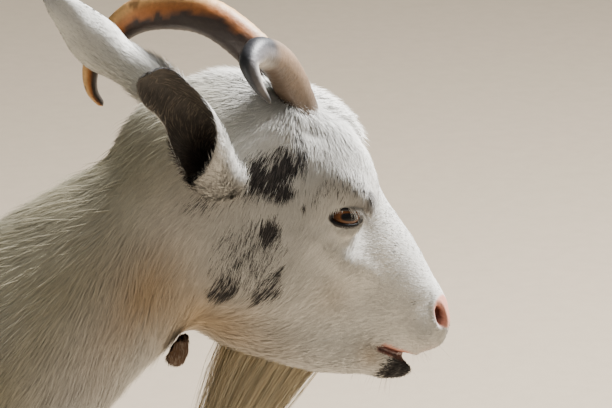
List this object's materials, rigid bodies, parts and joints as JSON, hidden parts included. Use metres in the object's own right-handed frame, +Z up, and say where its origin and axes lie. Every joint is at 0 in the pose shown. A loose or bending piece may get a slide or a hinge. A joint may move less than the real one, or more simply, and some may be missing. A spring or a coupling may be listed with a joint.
{
  "type": "goat",
  "caption": "Life-size standing adult goat, head turned left and lowered, with swept-back curled horns, beard and throat wattles, as a still museum-style model.",
  "frame": {"origin": "on the floor, under the middle of the whole animal's bounding box", "axes": "+X the way the body faces, +Y the animal's left, +Z up"},
  "size_m": [1.1374, 0.3242, 0.9442],
  "materials": {
    "coat": "cream-white goat hair over skin, with black and grey patches on the right side of the head",
    "dark_hair": "short dark brown hair",
    "horn": "ringed horn, brown to grey, satin",
    "hoof": "worn grey-brown hoof horn",
    "eye": "wet amber eye with a level dark pupil",
    "bare_skin": "thin-haired pink skin"
  },
  "bodies": {
    "root": {"beard": "coat", "ear_left": "coat", "ear_right": "coat", "eye_left": "eye", "eye_right": "eye", "foreleg_left": "coat", "foreleg_right": "coat", "head": "coat", "hindleg_left": "coat", "hindleg_right": "coat", "hoof_foreleg_left_inner": "hoof", "hoof_foreleg_left_outer": "hoof", "hoof_foreleg_right_inner": "hoof", "hoof_foreleg_right_outer": "hoof", "hoof_hindleg_left_inner": "hoof", "hoof_hindleg_left_outer": "hoof", "hoof_hindleg_right_inner": "hoof", "hoof_hindleg_right_outer": "hoof", "horn_left": "horn", "horn_right": "horn", "neck": "coat", "tail": "coat", "trunk": "coat", "udder": "bare_skin", "wattle_left": "dark_hair", "wattle_right": "dark_hair"}
  },
  "joints": []
}
